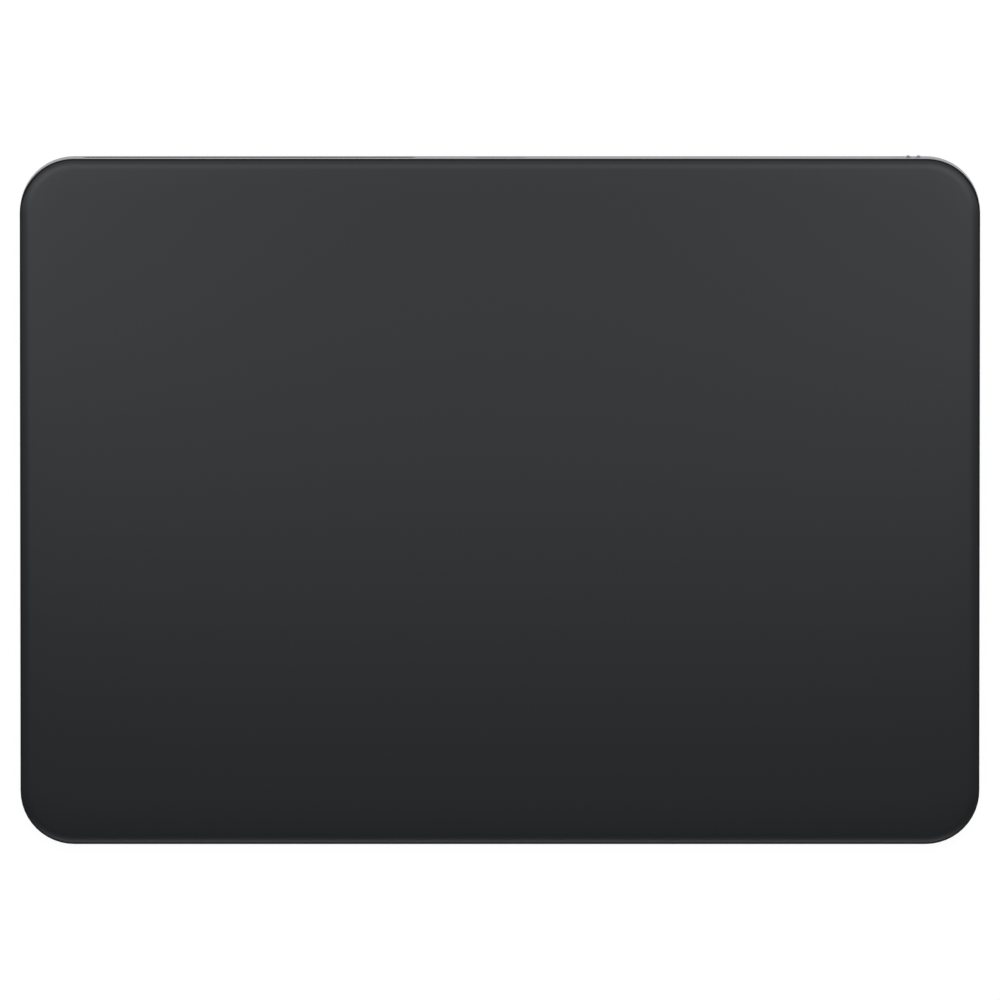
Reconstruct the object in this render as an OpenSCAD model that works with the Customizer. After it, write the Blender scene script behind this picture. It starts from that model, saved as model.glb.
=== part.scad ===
// Wireless trackpad: a sheet of black glass bonded to a wedge-shaped aluminium tray that stands on four
// force-sensing feet. The charging socket, antenna window and power slider sit in a row along the rear wall.
// Frame: X to the right, Y to the rear, Z up from the desk, origin under the middle of the tray.

/* [Body] */
// Width across the side walls
body_w = 160; // [146:0.5:190]
// Depth from the front wall to the rear wall
body_d = 114.9; // [108:0.1:140]
// Height of the glass at the front edge, feet included
front_h = 4.9; // [4.6:0.1:7]
// Height of the glass at the rear edge, feet included
rear_h = 10.9; // [10.2:0.1:14]
// Radius of the corners, seen from above
corner_r = 9; // [6:0.1:12]
// Thickness of the tray walls
wall_t = 1.6; // [1.2:0.1:2]
// Thickness of the tray floor
floor_t = 1; // [0.8:0.1:1.2]
// Fillet along the bottom edge of the tray
bottom_r = 1.2; // [0.6:0.1:1.5]

/* [Glass] */
// Thickness of the glass sheet
glass_t = 1.1; // [0.9:0.05:1.3]
// How far the glass edge sits in from the walls
glass_inset = 0.03; // [0:0.01:0.3]
// Radius of the slow shoulder that leads to the glass edge
shoulder_r = 6; // [3:0.1:9]
// Angle that the shoulder turns through
shoulder_angle = 15; // [8:1:20]
// Radius of the tight rim at the glass edge
rim_r = 0.55; // [0.3:0.05:0.7]
// Thickness of the adhesive frame between glass and wall
bond_t = 0.2; // [0.1:0.05:0.3]
// How far the adhesive frame sits in from the outer face
bond_inset = 0.3; // [0.1:0.05:0.5]
// Thickness of the touch board laminated under the glass
sensor_t = 0.6; // [0.4:0.05:0.7]
// Gap round the touch board, to the walls
sensor_gap = 0.6; // [0.3:0.1:2]

/* [Rear wall] */
// Length of the antenna window
window_l = 55.6; // [30:0.1:56]
// Height of the antenna window
window_h = 3.2; // [2.4:0.1:3.6]
// Distance from the left wall to the near end of the window
window_in = 10.4; // [10.2:0.1:14]
// Width of the charging socket's metal shell
shell_w = 8.9; // [8.8:0.05:9.6]
// Height of the charging socket's metal shell
shell_h = 3.2; // [3.1:0.05:3.6]
// Sheet thickness of the shell
shell_t = 0.3; // [0.2:0.05:0.35]
// Length of the shell
shell_l = 8; // [7:0.1:9]
// How far the shell's mouth sits behind the rear face
shell_recess = 0.25; // [0.1:0.05:0.6]
// Distance from the right wall to the middle of the slider slot
switch_in = 12.4; // [12.2:0.1:16]
// Width of the slider knob
knob_w = 2.3; // [1.8:0.1:2.6]
// Height of the slider knob
knob_h = 2.1; // [1.6:0.1:2.4]
// How far the knob's two grip ribs stand out of the rear face
knob_proud = 0.3; // [0.1:0.05:0.4]
// Travel of the slider
knob_travel = 2.6; // [2:0.1:2.8]

/* [Feet] */
// Gap under the tray
foot_gap = 0.7; // [0.5:0.1:1]
// Diameter of a foot
foot_dia = 11; // [9:0.1:12]
// Distance from the side walls to the foot centres
foot_in_side = 14.5; // [14:0.1:18]
// Distance from the front wall to the front foot centres
foot_in_front = 14; // [10:0.1:18]
// Distance from the rear wall to the rear foot centres
foot_in_rear = 18; // [17.6:0.1:19]
// Travel of a foot on its flexure
foot_travel = 0.2; // [0.1:0.05:0.25]
// Length of a flexure
flexure_l = 21; // [20.6:0.1:22]
// Width of a flexure
flexure_w = 7; // [6.4:0.1:8]
// Thickness of a flexure
flexure_t = 0.4; // [0.3:0.05:0.5]

/* [Main board] */
// Length of the main board
board_l = 86; // [80:0.5:92]
// Depth of the main board
board_d = 16.4; // [15:0.1:18]
// Thickness of the boards
board_t = 0.8; // [0.6:0.1:1]
// Height of the bosses under the boards
board_boss_h = 1.1; // [1:0.1:1.4]
// Distance from the middle of the socket to the middle of the main board
board_shift = 7; // [4:0.5:8]

/* [Battery] */
// Room between a battery cell and the side wall
cell_side_gap = 3.4; // [3:0.1:12]
// Depth of a battery cell, without its tab ledge
cell_d = 46; // [36:0.5:52]
// Thickness of a battery cell
cell_t = 3; // [2.4:0.1:3.1]
// Depth of the tab ledge at the rear of a cell
ledge_d = 4; // [3.4:0.1:5]

/* [Haptic actuator] */
// Width of the actuator
haptic_w = 42; // [36:0.5:42]
// Depth of the actuator
haptic_d = 44; // [36:0.5:46]
// Thickness of the moving mass
mass_t = 0.7; // [0.5:0.1:0.8]
// Travel of the moving mass to each side
mass_travel = 0.3; // [0.1:0.05:0.4]
// Height of the coils
coil_h = 0.9; // [0.6:0.1:1]

/* [Fasteners] */
// Thread diameter of the screws
screw_dia = 1.2; // [1:0.1:1.4]
// Head diameter of the screws
head_dia = 2.2; // [2:0.1:2.4]
// Head height of the screws
head_h = 0.5; // [0.4:0.05:0.6]

/* [Hidden] */
$fn = 48;

// Clearances
fit = 0.1;
slide_fit = 0.15;
seat_gap = 0.5;
board_rear_gap = 1.45;
aisle = 5.2;
sink = 0.4;
over = 1;

// Sizes worked out from angles are drawn to the nearest micron
function micron(x) = round(x * 1000) / 1000;

// Wedge: the glass plane leans forward over a level floor
half_w = body_w / 2;
half_d = body_d / 2;
slope = atan((rear_h - front_h) / body_d);
mid_h = (front_h + rear_h) / 2;
stack_t = glass_t + bond_t;
glass_half_w = half_w - glass_inset;
glass_half_d = micron((half_d - glass_inset) / cos(slope));
deck_z = foot_gap + floor_t;
in_x = half_w - wall_t;
in_y = half_d - wall_t;
// Underside of the touch board above a point at depth y
function ceiling_z(y) = mid_h + y * tan(slope) - (glass_t + sensor_t) / cos(slope);

// Glass edge: width of the rolled shoulder, rim included
shoulder_w = (shoulder_r - rim_r) * sin(shoulder_angle) + rim_r;
edge_steps = 8;

// Rear row: board, socket, window and slider share one height
board_z = deck_z + board_boss_h;
board_top = board_z + board_t;
rear_z = board_top + shell_h / 2;
board_rear = in_y - board_rear_gap;
board_front = board_rear - board_d;
board_left = board_shift - board_l / 2;
board_right = board_shift + board_l / 2;
chip_y = board_front + board_d / 2;
connector_h = 0.9;
connector_top = board_top + connector_h;

// Ribbon cables: thickness, width, lap on the piece below, step past an edge and length of a slope
flex_t = 0.12;
flex_w = 3;
flex_lap = 3;
flex_step = 0.5;
flex_ramp = 1.8;

// Parts on the main board: dy is from the middle of its depth
shield_x = -18;
shield_w = 13;
shield_d = 10;
shield_h = 1.5;
shield_t = 0.2;
processor_w = 7;
processor_h = 0.9;
charger_x = 17;
charger_dy = -3;
charger_w = 5;
driver_x = 38;
driver_dy = 1;
driver_w = 6;
driver_d = 4;
chip_h = 0.8;
bead_x = 36;
bead_dy = -4;
bead_pitch = 1.6;
bead_count = 6;
bead_w = 1;
bead_d = 0.5;

// Plugs on the main board
plug_d = 2.6;
battery_plug_x = -6;
battery_plug_in = 2;
battery_plug_y = board_front + battery_plug_in;
battery_plug_w = 6;
antenna_plug_in = 5;
antenna_plug_x = board_left + antenna_plug_in;
antenna_plug_dy = 4.4;
antenna_plug_y = chip_y + antenna_plug_dy;
antenna_plug_w = 2.4;
switch_plug_in = 6;
switch_plug_x = board_right - switch_plug_in;
switch_plug_back = 3.9;
switch_plug_y = board_rear - switch_plug_back;
switch_flex_w = 1.8;

// Touch board: its chips in a row ahead of the main board, its ribbon folded down to a plug
touch_chip_w = 7;
touch_chip_h = 0.9;
touch_chip_pitch = 36;
touch_chip_y = board_front - seat_gap - touch_chip_w / 2;
touch_flex_x = 28;
touch_flex_w = 10;
touch_flex_fold = 2;
touch_plug_w = touch_flex_w + 2 * seat_gap;

window_x = -half_w + window_in + window_l / 2;
window_lip = 0.4;
window_flange_t = 0.6;
antenna_t = 0.2;
antenna_end_gap = 2;
antenna_edge_gap = 0.2;

port_mouth_y = half_d - shell_recess;
port_back_y = port_mouth_y - shell_l;
tongue_w = 6.6;
tongue_t = 0.7;
tongue_l = 5;
contact_pitch = 0.5;
contact_count = 12;
contact_t = 0.06;
contact_in = 0.6;
bracket_t = 0.4;
bracket_d = 4;
bracket_foot = 3.2;
bracket_in = 0.4;
bracket_y = port_back_y + bracket_in + bracket_d / 2;
bracket_screw_x = shell_w / 2 + fit + bracket_t + bracket_foot / 2;

mouth_w = shell_w + 2 * fit;
mouth_h = shell_h + 2 * fit;
slot_w = knob_w + knob_travel + 2 * slide_fit;
slot_h = knob_h + 2 * slide_fit;
slot_x = half_w - switch_in;
knob_x = slot_x + knob_travel / 2;
shutter_gap = 0.45;
shutter_t = 0.4;
shutter_lap = 0.3;
shutter_w = slot_w + knob_travel + fit;
shutter_h = slot_h + 2 * shutter_lap;
shutter_y = in_y - shutter_gap;
mark_t = 0.08;
stem_w = 1.6;
stem_h = 1;
stem_l = 1.5;
knob_rib = 0.45;
dish_chord = knob_w - 2 * knob_rib;
dish_sink = 0.02;
dish_sag = knob_proud + dish_sink;
dish_r = micron((pow(dish_chord / 2, 2) + pow(dish_sag, 2)) / (2 * dish_sag));
slot_break = 0.2;
port_break = 0.3;
switch_cheek = 0.7;
switch_body_w = shutter_w + 2 * switch_cheek;
switch_body_d = 4;
switch_board_end = 2.5;
switch_board_shift = 1.6;
switch_board_l = switch_body_w + 2 * switch_board_end;
switch_board_d = 7.6;
switch_board_x = slot_x - switch_board_shift;
switch_board_left = switch_board_x - switch_board_l / 2;

// Feet: centres, hole, and the stack from pad to flexure
foot_x = half_w - foot_in_side;
foot_front_y = foot_in_front - half_d;
foot_rear_y = half_d - foot_in_rear;
FEET = [[-foot_x, foot_front_y], [foot_x, foot_front_y], [-foot_x, foot_rear_y], [foot_x, foot_rear_y]];
foot_hole_dia = foot_dia + 4 * fit;
foot_round_share = 0.45;
foot_rim = 0.6;
foot_stop_gap = 0.03;
foot_stop_z = foot_gap - foot_travel - foot_stop_gap;
foot_round = foot_stop_z * foot_round_share;
pad_h = 1.1;
flexure_boss_h = 0.3;
flexure_z = deck_z + flexure_boss_h;
flexure_top = flexure_z + flexure_t;
hub_dia = flexure_w;
stud_dia = 2;
rivet_dia = 3.2;
rivet_h = 0.35;
flexure_screw_in = 1.9;
flexure_screw_x = flexure_l / 2 - flexure_screw_in;
flexure_r = 1;
neck_w = 3.4;
neck_dia = (flexure_w - neck_w) / 2;
neck_in = 0.6;
neck_x = foot_hole_dia / 2 - neck_in;
gauge_l = 2.4;
gauge_w = 4;
gauge_t = 0.12;
gauge_edge = 0.4;
gauge_x = foot_hole_dia / 2 - gauge_l / 2;
GAUGES = [for (f = FEET) f + [sign(f.x) * gauge_x, flexure_w / 2 - gauge_edge - gauge_w / 2]];
FLEXURE_HOLES = [for (f = FEET) for (s = [-1, 1]) f + [s * flexure_screw_x, 0]];
run_w = 1.2;

// Screws, pilots and bosses
boss_dia = 3;
pilot_dia = screw_dia + fit;
pilot_share = 0.6;
pilot_in_floor = floor_t * pilot_share;
screw_tip_gap = 0.1;
head_rim_share = 0.7;
head_top_share = 0.7;
drive_share = 0.6;
drive_depth_share = 0.5;
board_hole_in = 2.4;
BOARD_HOLES = [
    for (x = [board_left + board_hole_in, board_right - board_hole_in])
        for (y = [board_front + board_hole_in, board_rear - board_hole_in])
            [x, y]
];
switch_hole_y = board_rear - switch_board_d + boss_dia / 2;
SWITCH_HOLES = [for (s = [-1, 1]) [switch_board_x + s * (switch_board_l / 2 - boss_dia / 2), switch_hole_y]];

// Battery and actuator share the middle of the floor
tape_t = 0.15;
tape_w = 12;
tape_end_gap = 2;
cell_gap = 2;
cell_w = in_x - cell_side_gap - haptic_w / 2 - cell_gap;
cell_x = haptic_w / 2 + cell_gap + cell_w / 2;
cell_rear = board_front - aisle - ledge_d;
cell_y = cell_rear - cell_d / 2;
cell_z = deck_z + tape_t;
cell_r = 2;
ledge_t = 0.8;
ledge_top = cell_z + ledge_t;
pcm_t = 0.6;
pcm_edge = 0.3;
pcm_d = ledge_d - 2 * pcm_edge;
pcm_y = cell_rear + ledge_d / 2;
pcm_l = haptic_w + 2 * cell_gap + cell_w;
pcm_top = ledge_top + pcm_t;

haptic_ear = 3.4;
haptic_y = cell_rear - seat_gap - haptic_ear - haptic_d / 2;
haptic_boss_h = 0.3;
haptic_z = deck_z + haptic_boss_h;
haptic_base_t = 0.4;
haptic_base_top = haptic_z + haptic_base_t;
haptic_wall_t = 0.8;
air_gap = 0.25;
magnet_t = 0.5;
coil_w = 12;
coil_d = 26;
coil_band = 3;
coil_x = 8;
mass_z = haptic_base_top + coil_h + air_gap + magnet_t;
spring_room = 2;
mass_w = haptic_w - 2 * (haptic_wall_t + spring_room + mass_travel);
mass_end_gap = 2;
mass_d = haptic_d - 2 * mass_end_gap;
mass_r = 1.5;
magnet_gap = 0.3;
magnet_w = coil_w / 2 - 2 * magnet_gap;
haptic_wall_h = mass_z + mass_t - haptic_base_top;
spring_t = 0.2;
spring_h = 1.4;
spring_tab = 3;
spring_in = 1;
haptic_flex_x = 10;
HAPTIC_EARS = [
    for (s = [-1, 1])
        for (f = [-1, 1])
            [s * (haptic_w / 2 - haptic_ear / 2), haptic_y + f * (haptic_d / 2 + haptic_ear / 2)]
];

// Stiffening ribs of the floor, in front of the battery
rib_count = 5;
rib_pitch = 20;
rib_t = 1;
rib_h = 0.5;
rib_end_gap = 3;
rib_front = -in_y + rib_end_gap;
rib_rear = min(cell_rear - cell_d, haptic_y - haptic_d / 2 - haptic_ear) - rib_end_gap;

// Colours
SILVER = [0.80, 0.81, 0.82];
GLASS = [0.05, 0.05, 0.06];
PLASTIC = [0.62, 0.63, 0.64];
STEEL = [0.66, 0.67, 0.68];
BOARD = [0.06, 0.20, 0.12];
CHIP = [0.10, 0.10, 0.11];
COPPER = [0.72, 0.42, 0.22];
FLEX = [0.55, 0.33, 0.10];
GOLD = [0.85, 0.68, 0.30];
POUCH = [0.20, 0.20, 0.22];
GREEN = [0.20, 0.75, 0.25];
MAGNET = [0.45, 0.45, 0.47];

// A strip of even thickness along a bent path, as polygon points
function unit(v) = v / norm(v);
function normal_of(a, b) = [-(b - a).y, (b - a).x] / norm(b - a);
function mitre(path, i) =
    let (
        n0 = normal_of(path[max(i - 1, 0)], path[max(i, 1)]),
        n1 = normal_of(path[min(i, len(path) - 2)], path[min(i + 1, len(path) - 1)]),
        m = unit(n0 + n1)
    )
    m / (m * n0);
function ribbon(path, t) = concat(
    path,
    [for (i = [len(path) - 1:-1:0]) path[i] + t * mitre(path, i)]
);

// Points on an arc from angle a0 to a1
function arc(centre, r, a0, a1) = [
    for (i = [0:edge_steps])
        let (a = a0 + (a1 - a0) * i / edge_steps)
        centre + r * [cos(a), sin(a)]
];

// Sweeps a profile round an outline, as four mirrored quarters. The child is drawn from the corner's axis,
// x = 0, out to x = corner_r.
module around(hx, hy, z_lo, z_hi) {
    axis = [hx - corner_r, hy - corner_r];
    for (mx = [0, 1]) {
        for (my = [0, 1]) {
            mirror([mx, 0, 0]) mirror([0, my, 0]) {
                translate([0, 0, z_lo]) cube([axis.x, axis.y, z_hi - z_lo]);
                translate([0, axis.y, 0]) rotate([90, 0, 90]) linear_extrude(axis.x) children();
                translate([axis.x, axis.y, 0]) rotate([90, 0, 0]) linear_extrude(axis.y) children();
                translate([axis.x, axis.y, 0]) rotate_extrude(angle = 90) children();
            }
        }
    }
}

// A plate of an outline, moved in by inset, with upright sides
module plate(hx, hy, inset, z_lo, z_hi) {
    translate([0, 0, z_lo])
        rounded_block(2 * (hx - inset), 2 * (hy - inset), z_hi - z_lo, corner_r - inset);
}

// Puts children on the glass plane: z = 0 is the glass top
module on_glass() {
    translate([0, 0, mid_h]) rotate([slope, 0, 0]) children();
}

// A block centred in X and Y
module block(w, d, h) {
    translate([-w / 2, -d / 2, 0]) cube([w, d, h]);
}

module rounded_block(w, d, h, r) {
    block(w - 2 * r, d, h);
    block(w, d - 2 * r, h);
    for (x = [-1, 1]) {
        for (y = [-1, 1]) {
            translate([x * (w / 2 - r), y * (d / 2 - r), 0]) cylinder(r = r, h = h);
        }
    }
}

// A bar with round ends that runs along X and points to the rear, from y0 to y1
module rear_bar(w, h, y0, y1) {
    translate([0, y1, 0]) rotate([90, 0, 0]) {
        translate([-(w - h) / 2, -h / 2, 0]) cube([w - h, h, y1 - y0]);
        for (s = [-1, 1]) {
            translate([s * (w - h) / 2, 0, 0]) cylinder(d = h, h = y1 - y0);
        }
    }
}

// The broken edge round the mouth of a bar-shaped opening in the rear face
module rear_break(w, h, size) {
    grow = size + over;
    translate([0, half_d + over, 0]) rotate([90, 0, 0]) for (s = [-1, 1]) {
        translate([s * (w - h) / 2, 0, 0]) cylinder(d1 = h + 2 * grow, d2 = h, h = grow);
    }
    translate([-(w - h) / 2, half_d, 0]) rotate([90, 0, 90]) linear_extrude(w - h)
        polygon([[-size, -h / 2], [over, -h / 2 - grow], [over, h / 2 + grow], [-size, h / 2]]);
}

// A ribbon cable drawn as a path of [y, z] points, centred on x
module ribbon_yz(path, w) {
    translate([-w / 2, 0, 0]) rotate([90, 0, 90]) linear_extrude(w) polygon(ribbon(path, flex_t));
}

// A ribbon cable drawn as a path of [x, z] points, centred on y
module ribbon_xz(path, w) {
    translate([0, w / 2, 0]) rotate([90, 0, 0]) linear_extrude(w) polygon(ribbon(path, flex_t));
}

// Screw with a domed head: z = 0 is the underside of the head
module screw(grip) {
    rim_h = head_h * head_rim_share;
    difference() {
        union() {
            cylinder(d = head_dia, h = rim_h);
            translate([0, 0, rim_h])
                cylinder(d1 = head_dia, d2 = head_dia * head_top_share, h = head_h - rim_h);
            translate([0, 0, -grip]) cylinder(d = screw_dia, h = grip + rim_h / 2);
        }
        translate([0, 0, head_h * (1 - drive_depth_share)])
            cylinder(d = screw_dia * drive_share, h = head_h, $fn = 6);
    }
}

// Boss on the tray floor
module boss(h) {
    translate([0, 0, deck_z - sink]) cylinder(d = boss_dia, h = h + sink);
}

module pilot(h) {
    translate([0, 0, deck_z - pilot_in_floor]) cylinder(d = pilot_dia, h = h + pilot_in_floor + over);
}

// Screw hole through a board that lies on its bosses
module board_hole() {
    translate([0, 0, board_z - over]) cylinder(d = pilot_dia, h = board_t + 2 * over);
}

// Grip of a screw whose head sits h above the floor
function grip(h) = h + pilot_in_floor - screw_tip_gap;

module at_each(places) {
    for (p = places) {
        translate([p.x, p.y, 0]) children();
    }
}

module tray_profile() {
    r = bottom_r;
    translate([0, foot_gap]) square([corner_r - r, rear_h - foot_gap]);
    translate([0, foot_gap + r]) square([corner_r, rear_h - foot_gap - r]);
    translate([corner_r - r, foot_gap + r]) circle(r);
}

module housing() {
    color(SILVER) difference() {
        union() {
            difference() {
                around(half_w, half_d, foot_gap, rear_h) tray_profile();
                plate(half_w, half_d, wall_t, deck_z, rear_h + over);
            }
            at_each(concat(BOARD_HOLES, SWITCH_HOLES)) boss(board_boss_h);
            at_each(HAPTIC_EARS) boss(haptic_boss_h);
            at_each(FLEXURE_HOLES) boss(flexure_boss_h);
            for (i = [0:rib_count - 1]) {
                translate([(i - (rib_count - 1) / 2) * rib_pitch - rib_t / 2, rib_front, deck_z - sink])
                    cube([rib_t, rib_rear - rib_front, rib_h + sink]);
            }
        }
        on_glass() translate([0, 0, -stack_t]) block(body_w * 2, body_d * 2, rear_h);
        translate([window_x, 0, rear_z]) rear_bar(window_l, window_h, in_y - over, half_d + over);
        translate([0, 0, rear_z]) {
            rear_bar(mouth_w, mouth_h, in_y - over, half_d + over);
            rear_break(mouth_w, mouth_h, port_break);
        }
        translate([slot_x, 0, rear_z]) {
            rear_bar(slot_w, slot_h, in_y - over, half_d + over);
            rear_break(slot_w, slot_h, slot_break);
        }
        at_each(FEET) translate([0, 0, foot_gap - over]) cylinder(d = foot_hole_dia, h = floor_t + 2 * over);
        at_each(concat(BOARD_HOLES, SWITCH_HOLES)) pilot(board_boss_h);
        at_each(HAPTIC_EARS) pilot(haptic_boss_h);
        at_each(FLEXURE_HOLES) pilot(flexure_boss_h);
    }
}

// Glass section: flat top, slow shoulder, tight rim, upright side
module glass_profile() {
    shoulder_axis = [corner_r - shoulder_w, -shoulder_r];
    rim_axis = shoulder_axis + (shoulder_r - rim_r) * [sin(shoulder_angle), cos(shoulder_angle)];
    polygon(concat(
        [[0, -glass_t], [corner_r, -glass_t]],
        arc(rim_axis, rim_r, 0, 90 - shoulder_angle),
        [for (i = [1:edge_steps]) arc(shoulder_axis, shoulder_r, 90 - shoulder_angle, 90)[i]],
        [[0, 0]]
    ));
}

module glass_top() {
    color(GLASS) on_glass()
        around(glass_half_w, glass_half_d, -glass_t, 0) glass_profile();
}

module glass_bond() {
    color(CHIP) on_glass() difference() {
        plate(glass_half_w, glass_half_d, bond_inset, -stack_t, -glass_t);
        plate(glass_half_w, glass_half_d, wall_t - fit, -stack_t - over, -glass_t + over);
    }
}

module touch_sensor() {
    color(BOARD) on_glass()
        plate(glass_half_w, glass_half_d, wall_t + sensor_gap, -glass_t - sensor_t, -glass_t);
}

module touch_chips() {
    color(CHIP) on_glass()
        for (i = [-1:1]) {
            translate([i * touch_chip_pitch, touch_chip_y, -glass_t - sensor_t - touch_chip_h])
                block(touch_chip_w, touch_chip_w, touch_chip_h);
        }
}

// Ribbon from the underside of the touch board down to the main board
module touch_flex() {
    y0 = chip_y - flex_lap;
    y1 = chip_y + flex_lap;
    path = [
        [y0, connector_top],
        [y1, connector_top],
        [y1 + touch_flex_fold, connector_top + touch_flex_fold],
        [y1 + touch_flex_fold, ceiling_z(y1) - touch_flex_fold],
        [y1, ceiling_z(y1) - flex_t / cos(slope)],
        [y0, ceiling_z(y0) - flex_t / cos(slope)]
    ];
    color(FLEX) translate([touch_flex_x, 0, 0]) ribbon_yz(path, touch_flex_w);
}

module antenna_window() {
    color(PLASTIC) translate([window_x, 0, rear_z]) {
        rear_bar(window_l - fit, window_h - fit, in_y - window_flange_t / 2, half_d);
        translate([0, in_y - window_flange_t / 2, 0])
            cube([window_l - window_h, window_flange_t, window_h + 2 * window_lip], center = true);
    }
}

module antenna_flex() {
    back = in_y - window_flange_t;
    tail_y = antenna_plug_y - antenna_plug_w / 2;
    color(FLEX) {
        translate([window_x, back - antenna_t / 2, rear_z])
            cube([
                window_l - window_h - 2 * antenna_end_gap,
                antenna_t,
                window_h - 2 * antenna_edge_gap
            ], center = true);
        translate([antenna_plug_x - flex_w / 2, tail_y, connector_top])
            cube([flex_w, back - antenna_t / 2 - tail_y, antenna_t]);
    }
}

module port_shell() {
    color(STEEL) translate([0, 0, rear_z]) difference() {
        rear_bar(shell_w, shell_h, port_back_y, port_mouth_y);
        rear_bar(shell_w - 2 * shell_t, shell_h - 2 * shell_t, port_back_y + shell_t, half_d + over);
    }
}

module port_tongue() {
    color(CHIP) translate([0, port_back_y + shell_t, rear_z])
        translate([-tongue_w / 2, 0, -tongue_t / 2]) cube([tongue_w, tongue_l, tongue_t]);
}

module port_contacts() {
    pad_w = contact_pitch / 2;
    pad_l = tongue_l - 2 * contact_in;
    color(GOLD) for (i = [0:contact_count - 1]) {
        for (z = [tongue_t / 2, -tongue_t / 2 - contact_t]) {
            translate([
                (i - (contact_count - 1) / 2) * contact_pitch - pad_w / 2,
                port_back_y + shell_t + contact_in,
                rear_z + z
            ]) cube([pad_w, pad_l, contact_t]);
        }
    }
}

// Stamped strap over the socket, screwed to the board on both sides
module port_bracket() {
    inner = shell_w / 2 + fit;
    top = rear_z + shell_h / 2;
    outer = inner + bracket_t;
    color(STEEL) difference() {
        translate([0, bracket_y + bracket_d / 2, 0]) rotate([90, 0, 0]) linear_extrude(bracket_d) polygon([
            [-outer - bracket_foot, board_top], [-inner, board_top], [-inner, top], [inner, top],
            [inner, board_top], [outer + bracket_foot, board_top],
            [outer + bracket_foot, board_top + bracket_t], [outer, board_top + bracket_t],
            [outer, top + bracket_t], [-outer, top + bracket_t],
            [-outer, board_top + bracket_t], [-outer - bracket_foot, board_top + bracket_t]
        ]);
        for (s = [-1, 1]) {
            translate([s * bracket_screw_x, bracket_y, board_top - over])
                cylinder(d = pilot_dia, h = bracket_t + 2 * over);
        }
    }
}

module bracket_screws() {
    color(STEEL) for (s = [-1, 1]) {
        translate([s * bracket_screw_x, bracket_y, board_top + bracket_t]) screw(bracket_t + board_t);
    }
}

module main_board() {
    color(BOARD) difference() {
        translate([board_left, board_front, board_z]) cube([board_l, board_d, board_t]);
        at_each(BOARD_HOLES) board_hole();
        for (s = [-1, 1]) {
            translate([s * bracket_screw_x, bracket_y, 0]) board_hole();
        }
    }
}

// Processor under the shield, charger, actuator driver and a row of small parts beside it
module board_chips() {
    color(CHIP) translate([0, 0, board_top]) {
        translate([shield_x, chip_y, 0]) block(processor_w, processor_w, processor_h);
        translate([charger_x, chip_y + charger_dy, 0]) block(charger_w, charger_w, chip_h);
        translate([driver_x, chip_y + driver_dy, 0]) block(driver_w, driver_d, chip_h);
        for (i = [0:bead_count - 1]) {
            translate([bead_x + i * bead_pitch, chip_y + bead_dy, 0]) block(bead_w, bead_d, bead_d);
        }
    }
}

module board_shield() {
    color(STEEL) translate([shield_x, chip_y, board_top]) difference() {
        block(shield_w, shield_d, shield_h);
        translate([0, 0, -over])
            block(shield_w - 2 * shield_t, shield_d - 2 * shield_t, shield_h - shield_t + over);
    }
}

module board_connectors() {
    color(CHIP) translate([0, 0, board_top]) {
        translate([battery_plug_x, battery_plug_y, 0]) block(battery_plug_w, plug_d, connector_h);
        translate([touch_flex_x, chip_y, 0]) block(touch_plug_w, plug_d, connector_h);
        translate([antenna_plug_x, antenna_plug_y, 0]) block(antenna_plug_w, antenna_plug_w, connector_h);
        translate([switch_plug_x, switch_plug_y, 0]) block(plug_d, plug_d, connector_h);
    }
}

module board_screws() {
    color(STEEL) at_each(BOARD_HOLES) translate([0, 0, board_top]) screw(grip(board_boss_h + board_t));
}

module switch_board() {
    color(BOARD) difference() {
        translate([switch_board_left, board_rear - switch_board_d, board_z])
            cube([switch_board_l, switch_board_d, board_t]);
        at_each(SWITCH_HOLES) board_hole();
    }
}

// Slide switch with a channel for the knob's stem
module switch_body() {
    front = shutter_y - shutter_t - slide_fit;
    channel_w = stem_w + knob_travel + 4 * slide_fit;
    color(CHIP) difference() {
        translate([slot_x - switch_body_w / 2, front - switch_body_d, board_top])
            cube([switch_body_w, switch_body_d, shell_h]);
        translate([slot_x, front, rear_z])
            cube([channel_w, 2 * (stem_l + slide_fit), stem_h + 2 * slide_fit], center = true);
    }
}

module switch_flex() {
    color(FLEX) translate([0, switch_plug_y, 0]) ribbon_xz([
        [switch_plug_x - plug_d / 2, connector_top], [board_right - flex_step, connector_top],
        [switch_board_left + flex_step, board_top], [switch_board_left + flex_ramp, board_top]
    ], switch_flex_w);
}

module switch_screws() {
    color(STEEL) at_each(SWITCH_HOLES) translate([0, 0, board_top]) screw(grip(board_boss_h + board_t));
}

// Knob in the slot, dished between two grip ribs, with a shutter behind the wall and a stem into the switch
module switch_knob() {
    color(SILVER) translate([knob_x, 0, rear_z]) {
        difference() {
            rear_bar(knob_w, knob_h, shutter_y - shutter_t / 2, half_d + knob_proud);
            translate([0, half_d + knob_proud - dish_sag + dish_r, -knob_h])
                cylinder(r = dish_r, h = 2 * knob_h);
        }
        translate([0, shutter_y - shutter_t / 2, 0]) cube([shutter_w, shutter_t, shutter_h], center = true);
        translate([-stem_w / 2, shutter_y - shutter_t - stem_l, -stem_h / 2])
            cube([stem_w, stem_l + shutter_t / 2, stem_h]);
    }
}

// Colour mark that shows beside the knob when it is slid to the left
module switch_mark() {
    mark_w = knob_travel - slide_fit;
    color(GREEN) translate([knob_x + knob_w / 2 + fit, shutter_y, rear_z - slot_h / 2])
        cube([mark_w, mark_t, slot_h]);
}

// Pouch cell with a thin ledge at the rear for its tabs
module battery_cell(side) {
    color(POUCH) translate([side * cell_x, cell_y, cell_z]) {
        rounded_block(cell_w, cell_d, cell_t, cell_r);
        translate([0, cell_d / 2, 0]) block(cell_w - 2 * cell_r, 2 * ledge_d, ledge_t);
    }
}

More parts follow.
